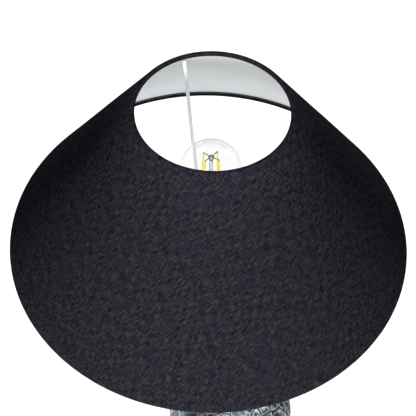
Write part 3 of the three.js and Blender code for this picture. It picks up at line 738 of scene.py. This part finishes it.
# ---- Lampholder and collar ----
def make_holder():
    black = plastic_paint("black_moulding", (0.011, 0.011, 0.012))
    brass = metal_paint("brass", (0.76, 0.56, 0.26), 0.3)
    zinc = metal_paint("zinc_plate", (0.55, 0.56, 0.58), 0.38)
    low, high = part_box("holder_cap")
    bore, wall, curve = 5.4 * MM, 2 * MM, 9 * MM
    radius = high.x
    ribs = 36

    def grip(t, r, z):
        """Shallow flutes on the upright outside wall only."""
        upright = r > radius - 0.6 * MM and low.z + 8 * MM < z < high.z - 1.5 * MM
        return (r - 0.35 * MM * (0.5 + 0.5 * math.cos(ribs * t)), z) if upright else (r, z)

    outside = [(bore, low.z), *arc((radius - curve, low.z + curve), curve, -90, 0, 10)]
    outside += [(radius, low.z + curve + k * (high.z - low.z - curve - 1 * MM) / 4) for k in range(1, 5)]
    outside += [(radius - 0.5 * MM, high.z)]
    inside = [(radius - wall, high.z), *arc((radius - curve, low.z + wall + curve), curve - wall, 0, -90, 8),
              (bore, low.z + wall + 1 * MM)]
    stands_for(turned("holder_shell", [*outside, *inside], 216, closed=True, bend=grip), "holder_cap", black)

    low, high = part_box("holder_skirt")
    base = rounded([(17 * MM, low.z), (high.x, low.z), (high.x, low.z + 5.5 * MM), (high.x - 1.2 * MM, low.z + 6.4 * MM),
                    (17 * MM, low.z + 6.4 * MM)], 0.4 * MM)
    stands_for(threaded("skirt_thread", high.x - 0.9 * MM, high.x - 0.3 * MM, low.z + 6.4 * MM, high.z, SKIRT_PITCH,
                        1.9 * MM), "holder_skirt", black)
    foot = turned("skirt_foot", base, 120, closed=True)
    foot.data.materials.append(black)
    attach(foot, "lamp")

    low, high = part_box("lower_shade_ring")
    bore = 20.1 * MM
    seat = rounded([(bore, low.z), (22 * MM, low.z), (high.x, high.z - 1.9 * MM), (high.x, high.z), (bore, high.z)],
                   0.5 * MM)
    stands_for(turned("shade_seat", seat, 120, closed=True), "lower_shade_ring", black)

    low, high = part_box("upper_collar")
    edge = high.x
    flutes = 30

    def knurl(t, r, z):
        near = max(0, min(1, (r - edge + 1.4 * MM) / (1 * MM)))
        return r - near * 0.35 * MM * (1 + math.cos(flutes * t)), z

    nut = rounded([(bore, low.z), (edge, low.z), (edge, high.z), (bore, high.z)], 0.8 * MM, 5)
    stands_for(turned("ring_nut", nut, 240, closed=True, bend=knurl), "upper_collar", black)
    low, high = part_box("collar_washer")
    washer = rounded([(bore, low.z), (high.x, low.z), (high.x, high.z), (bore, high.z)], 0.2 * MM, 2)
    stands_for(turned("fibre_washer", washer, 96, closed=True), "collar_washer", fibre_paint())

    low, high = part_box("socket_core")
    step = high.z - 7 * MM
    core = rounded([(0, low.z), (high.x, low.z), (high.x, step), (13 * MM, step), (13 * MM, high.z), (0, high.z)],
                   0.6 * MM, closed=False)
    stands_for(turned("ceramic_core", core, 64), "socket_core", ceramic_paint())
    low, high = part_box("socket_shell")
    stands_for(threaded("brass_shell", high.x - 0.45 * MM, high.x, low.z, high.z, BULB_PITCH, 0.25 * MM),
               "socket_shell", brass)
    repaint("centre_contact", brass)
    for node in ("terminal_screw_1", "terminal_screw_2"):
        repaint(node, brass)
    for node in ("holder_nut", "stem_nipple", "tie_rod", "rod_nut", "rod_washer"):
        repaint(node, zinc)


# ---- Stem ----
def make_stem():
    bronze = bronze_paint()
    low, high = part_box("stem_tube")
    bore = 5.3 * MM
    tube_section = rounded([(bore, low.z), (high.x, low.z), (high.x, high.z), (bore, high.z)], 0.4 * MM, 3)
    stands_for(turned("stem", tube_section, 64, closed=True), "stem_tube", bronze)
    low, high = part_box("stem_ferrule")
    height, edge = high.z - low.z, high.x
    bead = [(bore, low.z), (edge - 2.7 * MM, low.z), *arc((edge - 2.1 * MM, low.z + height * 0.45), 2.1 * MM, -70, 70, 12),
            (edge - 1.8 * MM, high.z), (bore, high.z)]
    stands_for(turned("ferrule", bead, 72, closed=True), "stem_ferrule", bronze)
    low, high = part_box("neck_cap")
    edge = high.x
    stem_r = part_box("stem_tube")[1].x
    flange = [(bore, low.z), (edge - 0.4 * MM, low.z), *arc((edge - 1 * MM, low.z + 1.6 * MM), 1 * MM, -30, 90, 6)]
    cove = arc((edge - 2.4 * MM, low.z + 9 * MM), 6.2 * MM, 270, 182, 12)
    top = [(stem_r + 1.9 * MM, high.z - 2.2 * MM), (stem_r + 2.1 * MM, high.z - 1.1 * MM), (stem_r + 1.2 * MM, high.z)]
    stands_for(turned("neck_cover", [*flange, *cove, *top, (bore, high.z)], 96, closed=True), "neck_cap", bronze)


# ---- Base ----
class BaseSurface:
    """The outside of the base, turned about its own axis: a foot curve, a flank, a round shoulder, a flat top."""

    def __init__(self):
        low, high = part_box("base_body")
        self.centre = Vector(((low.x + high.x) / 2, (low.y + high.y) / 2, 0))
        self.belly = (high.x - low.x) / 2
        self.foot_z, self.top_z = low.z, high.z
        self.foot_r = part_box("base_pad")[1].x - self.centre.x
        self.belly_z = self.foot_z + (self.top_z - self.foot_z) * 0.715
        self.hub = Vector((-self.centre.x, 0))          # the stem, seen from the base's own axis
        self.inlet = middle("cord_grommet")

    def outline(self):
        """Evenly spaced (radius, height, outward radius, outward height) from the foot to the middle of the top."""
        flank = [(self.foot_r + (self.belly - self.foot_r) * math.cos(t), self.belly_z
                  + (self.belly_z - self.foot_z) * math.sin(t)) for t in np.linspace(-math.pi / 2, 0, 60)]
        shoulder = arc((self.belly - SHOULDER_R, self.top_z - SHOULDER_R), SHOULDER_R, 0, 90, 40)
        line = np.array([*flank, *shoulder, (0.0, self.top_z)])
        keep = np.r_[True, np.linalg.norm(np.diff(line, axis=0), axis=1) > 1e-9]
        line = line[keep]
        reach = np.r_[0, np.cumsum(np.linalg.norm(np.diff(line, axis=0), axis=1))]
        even = np.linspace(0, reach[-1], 210)
        r, z = np.interp(even, reach, line[:, 0]), np.interp(even, reach, line[:, 1])
        dr, dz = np.gradient(r), np.gradient(z)
        size = np.hypot(dr, dz)
        return np.column_stack([r, z, dz / size, -dr / size])


def cell_seeds(surface, rng):
    """Centres of the relief's cells, thinned so that none is too near another: small ones in places, and large
    ones elsewhere. Each has a place, a size and a long direction."""
    outline = surface.outline()
    weights = outline[:, 0].clip(0.001)
    chosen = []
    for _ in range(9000):
        row = outline[rng.choice(len(outline), p=weights / weights.sum())]
        turn = rng.uniform(0, TAU)
        place = np.array([row[0] * math.cos(turn), row[0] * math.sin(turn), row[1]])
        patch = noise.noise(Vector(place) * 22 + Vector((3.3, 0.4, 7.0)))
        size = (4.2 + 5.4 * min(1, max(0, patch * 1.7 + 0.5))) * MM
        if all(np.linalg.norm(place - p) > 0.98 * (size + s) for p, s, _, _ in chosen):
            normal = np.array([row[2] * math.cos(turn), row[2] * math.sin(turn), row[3]])
            around = np.array([-math.sin(turn), math.cos(turn), 0])
            up = np.cross(normal, around)
            lean = math.radians(75) + rng.normal(0, 0.45)
            long_way = around * math.cos(lean) + up * math.sin(lean)
            chosen.append((place, size, long_way, normal))
    return chosen


def base_relief(surface):
    """The base's skin as a fine grid raised into cells, with what its paint needs to know at each point."""
    rng = np.random.default_rng(11)
    outline = surface.outline()
    columns = 430
    turns = np.arange(columns) / columns * TAU
    r, z, nr, nz = (outline[:, i][:, None] for i in range(4))
    place = np.stack([r * np.cos(turns), r * np.sin(turns), z + 0 * turns], axis=-1)
    normal = np.stack([nr * np.cos(turns), nr * np.sin(turns), nz + 0 * turns], axis=-1)
    flat = place.reshape(-1, 3)
    warp = np.array([noise.noise_vector(Vector(p) * 60) for p in flat]) * 2.2 * MM
    seeds = cell_seeds(surface, rng)
    first = np.full(len(flat), 1e9)
    second = np.full(len(flat), 1e9)
    owner = np.zeros(len(flat), int)
    for i, (spot, size, long_way, seed_normal) in enumerate(seeds):
        away = flat + warp - spot
        near = np.abs(away).max(axis=1) < 4 * size + 10 * MM
        d = away[near]
        along = d @ long_way
        across = np.linalg.norm(d - along[:, None] * long_way, axis=1)
        stretch = 1.0 + 1.3 * min(1, max(0, (size / MM - 4.8) / 3))
        distance = np.hypot(along / stretch, across) - size
        a, b = first[near], second[near]
        nearer = distance < a
        second[near] = np.where(nearer, a, np.minimum(b, distance))
        first[near] = np.where(nearer, distance, a)
        ids = np.flatnonzero(near)
        owner[ids[nearer]] = i
    edge = np.clip((second - first) / 2, 0, 1)
    sizes = np.array([seed[1] for seed in seeds])[owner]
    pit = np.exp(-(((first + sizes) / (0.42 * sizes)) ** 2)) * np.clip((7.2 * MM - sizes) / (1.8 * MM), 0.15, 0.9)
    return place, normal, pit.reshape(place.shape[:2]), edge.reshape(place.shape[:2]), owner, seeds, flat


def make_base():
    surface = BaseSurface()
    place, normal, pit, edge, owner, seeds, flat = base_relief(surface)
    rough = np.array([noise.noise(Vector(p) * 180) for p in flat]).reshape(edge.shape)
    gap_w, rim_w = 0.65 * MM * (1 + 0.9 * rough), 1.0 * MM
    gap = 1 - np.clip(edge / gap_w, 0, 1) ** 2
    rim = np.exp(-(((edge - gap_w - rim_w * 0.5) / rim_w) ** 2))
    dish = np.clip((edge - gap_w - rim_w) / (3.5 * MM), 0, 1)
    height = (-2.3 * gap + 1.2 * rim - 0.8 * np.sqrt(dish) - 1.2 * pit + 0.3 * rough) * MM
    # The relief dies away under the stem's cover, round the cord inlet and at the foot.
    hub_far = np.hypot(place[..., 0] - surface.hub.x, place[..., 1] - surface.hub.y)
    on_top = place[..., 2] > surface.top_z - 10 * MM
    calm_hub = np.where(on_top, np.clip((hub_far - 17 * MM) / (4 * MM), 0, 1), 1)
    inlet = np.array(surface.inlet - surface.centre)
    calm_inlet = np.clip((np.linalg.norm(place - inlet, axis=-1) - 8 * MM) / (4 * MM), 0, 1)
    calm_foot = np.clip((place[..., 2] - surface.foot_z) / (6 * MM), 0, 1)
    height *= calm_hub * calm_inlet * calm_foot
    points = place + normal * height[..., None] + np.array(surface.centre)
    # The foot turns in to a rim, and the wall goes up inside.
    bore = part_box("base_cover")[1].x - surface.centre.x + 0.4 * MM
    turns = np.arange(points.shape[1]) / points.shape[1] * TAU

    def inner_row(radius, z):
        return np.stack([surface.centre.x + radius * np.cos(turns), radius * np.sin(turns), 0 * turns + z], axis=-1)

    inner = [inner_row(bore, surface.foot_z + 60 * MM), inner_row(bore, surface.foot_z + 30 * MM),
             inner_row(bore, surface.foot_z)]
    mesh_rows = np.concatenate([np.array(inner), points])
    piece = grid("base_relief", mesh_rows, sharp=80)
    extras = len(inner) * points.shape[1]
    add_relief_values(piece, extras, {"gap": gap, "rim": rim, "pit": pit}, owner, seeds, flat, points)
    cap_inside(piece)
    drill(piece, surface)
    stands_for(piece, "base_body", relief_paint())
    return surface


def add_relief_values(piece, extras, shares, owner, seeds, flat, points):
    """Stores the crevice, rim and pit shares and each cell's own streak direction on the mesh's points."""
    spots, long_ways, normals = (np.array([seed[i] for seed in seeds]) for i in (0, 2, 3))
    sideways = np.cross(normals, long_ways)
    away = flat - spots[owner]
    streak = np.column_stack([
        np.einsum("ij,ij->i", away, long_ways[owner]) + owner * 0.37,
        np.einsum("ij,ij->i", away, sideways[owner]) + owner * 0.11,
        owner * 0.05,
    ])
    finder = {tuple(np.round(p, 6)): i for i, p in enumerate(points.reshape(-1, 3).astype(np.float32))}
    sources = []
    for v in piece.data.vertices:
        found = finder.get(tuple(np.round(np.array(v.co, np.float32), 6)))
        sources.append(v.index - extras if found is None else found)
    sources = np.array(sources)
    outside = (sources >= 0) & (sources < len(flat))
    sources = np.clip(sources, 0, len(flat) - 1)
    for name, values in shares.items():
        layer = piece.data.attributes.new(name, "FLOAT", "POINT")
        layer.data.foreach_set("value", np.where(outside, values.ravel()[sources], 0).astype(np.float32))
    layer = piece.data.attributes.new("streak", "FLOAT_VECTOR", "POINT")
    layer.data.foreach_set("vector", streak[sources].astype(np.float32).ravel())


def cap_inside(piece):
    """Closes the hollow's inner end with a flat roof, so that the mesh is one closed body."""
    work = bmesh.new()
    work.from_mesh(piece.data)
    rim = [e for e in work.edges if e.is_boundary]
    if rim:
        bmesh.ops.holes_fill(work, edges=rim, sides=0)
    bmesh.ops.recalc_face_normals(work, faces=work.faces)
    work.to_mesh(piece.data)
    work.free()


def drill(piece, surface):
    """Cuts the cord inlet at the back and the rod's hole in the top."""
    low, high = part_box("cord_grommet")
    radius = (high.x - low.x) / 2 - 1.7 * MM
    inlet = turned("inlet_cutter", [(0, -20 * MM), (radius, -20 * MM), (radius, 20 * MM), (0, 20 * MM)], 48)
    inlet.data.transform(Matrix.Translation(surface.inlet) @ Matrix.Rotation(math.radians(90), 4, "X"))
    rod = turned("rod_cutter", [(0, surface.top_z - 25 * MM), (7.5 * MM, surface.top_z - 25 * MM),
                                (7.5 * MM, surface.top_z + 10 * MM), (0, surface.top_z + 10 * MM)], 48)
    for cutter in (inlet, rod):
        cut = piece.modifiers.new("cut", "BOOLEAN")
        cut.operation, cut.solver, cut.object = "DIFFERENCE", "EXACT", cutter
        bpy.context.view_layer.objects.active = piece
        bpy.ops.object.modifier_apply(modifier=cut.name)
        bpy.data.objects.remove(cutter)


def make_foot(surface):
    """The felt pad, the steel cover, the iron weight and the cord's bush."""
    low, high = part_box("base_pad")
    radius = high.x - surface.centre.x
    nap = 0.08 * MM
    under = [(radius * share, low.z + 1.2 * nap) for share in np.linspace(0, 1, 9)]
    over = [(r, high.z) for r, _ in reversed(under)]
    disc = rounded([*under, *over], 0.7 * MM, closed=False)
    centre = (surface.centre.x, surface.centre.y)
    pad = roughen(turned("felt_pad", disc, 120, centre=centre), nap, 700, 5)
    stands_for(pad, "base_pad", felt_paint())
    repaint("base_cover", metal_paint("cover_steel", (0.40, 0.41, 0.42), 0.45, (1, 0.05, 1)))
    iron = Paint("cast_iron", {"Metallic": 0.7, "Roughness": 0.75})
    rust = iron.noise(60, detail=6, rough=0.7)
    iron.drive("Base Color", iron.ramp(rust, (0.4, (0.05, 0.05, 0.052)), (0.7, (0.11, 0.075, 0.05))))
    iron.drive("Normal", iron.bump(iron.noise(500, detail=5), 0.5, 0.4 * MM))
    repaint("base_weight", iron.material)
    low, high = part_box("cord_grommet")
    bore, tube_r, edge = 2.6 * MM, 4 * MM, (high.x - low.x) / 2
    face = 6 * MM
    bush = rounded([(bore, 0), (tube_r, 0), (tube_r, face + 0.3 * MM), (edge, face + 0.3 * MM), (edge, face + 2 * MM),
                    (bore + 1.2 * MM, face + 2.8 * MM), (bore, face + 2 * MM)], 0.4 * MM, 3)
    piece = turned("cord_bush", bush, 72, closed=True)
    turn = Matrix.Rotation(math.radians(-90), 4, "X")
    piece.data.transform(Matrix.Translation((surface.centre.x, low.y, surface.inlet.z)) @ turn)
    stands_for(piece, "cord_grommet", plastic_paint("grommet_rubber", (0.014, 0.014, 0.015), 0.6))


# ---- Studio ----
CAMERA_PITCH = 52.24       # degrees below level
CAMERA_ROLL = 1.72
CAMERA_LENS = 102.5
VIEW_DEPTH = 1.199         # to the middle of the lower ring, along the view
VIEW_RIGHT, VIEW_DOWN = 0.0008, 0.0278
AIM_Z = 0.465


def make_camera():
    data = bpy.data.cameras.new("camera")
    data.lens, data.sensor_width = CAMERA_LENS, 36
    data.clip_start, data.clip_end = 0.05, 50
    camera = bpy.data.objects.new("camera", data)
    bpy.context.scene.collection.objects.link(camera)
    turn = Matrix.Rotation(math.radians(90 - CAMERA_PITCH), 3, "X") @ Matrix.Rotation(math.radians(CAMERA_ROLL), 3, "Z")
    target = Vector((0, 0, AIM_Z))
    camera.matrix_world = Matrix.Translation(target - turn @ Vector((VIEW_RIGHT, -VIEW_DOWN, -VIEW_DEPTH))) @ turn.to_4x4()
    bpy.context.scene.camera = camera


def area_light(name, place, target, size, power, colour=(1, 1, 1)):
    data = bpy.data.lights.new(name, "AREA")
    data.shape, data.size, data.energy, data.color = "DISK", size, power, colour
    lamp = bpy.data.objects.new(name, data)
    bpy.context.scene.collection.objects.link(lamp)
    lamp.location = place
    lamp.rotation_mode = "QUATERNION"
    lamp.rotation_quaternion = (Vector(target) - Vector(place)).to_track_quat("-Z", "Y")


def snoot(height, reach, power):
    """A narrow light from straight above, down through the shade's top opening."""
    data = bpy.data.lights.new("snoot", "SPOT")
    data.energy, data.shadow_soft_size, data.spot_blend = power, 0.05, 0.6
    data.spot_size = 2 * math.atan(reach / (height - TOP.centre.y))
    lamp = bpy.data.objects.new("snoot", data)
    bpy.context.scene.collection.objects.link(lamp)
    lamp.location = (0, 0, height)


def make_studio():
    world = bpy.data.worlds.new("studio")
    world.use_nodes = True
    world.node_tree.nodes["Background"].inputs["Color"].default_value = (0.97, 0.98, 1, 1)
    world.node_tree.nodes["Background"].inputs["Strength"].default_value = 0.15
    bpy.context.scene.world = world
    target = (0, 0, 0.45)
    area_light("key", (-0.1, -2.95, 0.85), target, 0.9, 172)
    area_light("back", (0.2, 3.0, 0.75), target, 0.9, 75)
    snoot(3.0, 0.072, 600)
    mesh = bpy.data.meshes.new("floor")
    half = 6
    mesh.from_pydata([(-half, -half, 0), (half, -half, 0), (half, half, 0), (-half, half, 0)], [], [(0, 1, 2, 3)])
    floor = new_object("floor", mesh)
    paint = Paint("floor", {"Roughness": 0.9, "Emission Color": (1, 1, 1, 1), "Emission Strength": 0.96})
    paint.drive("Base Color", paint.ramp(paint.noise(3), (0.3, (0.29, 0.29, 0.29)), (0.7, (0.31, 0.31, 0.31))))
    mesh.materials.append(paint.material)
    bpy.context.scene.view_settings.view_transform = "Standard"


make_camera()
make_studio()
make_shade()
make_bulb()
make_holder()
make_stem()
make_foot(make_base())
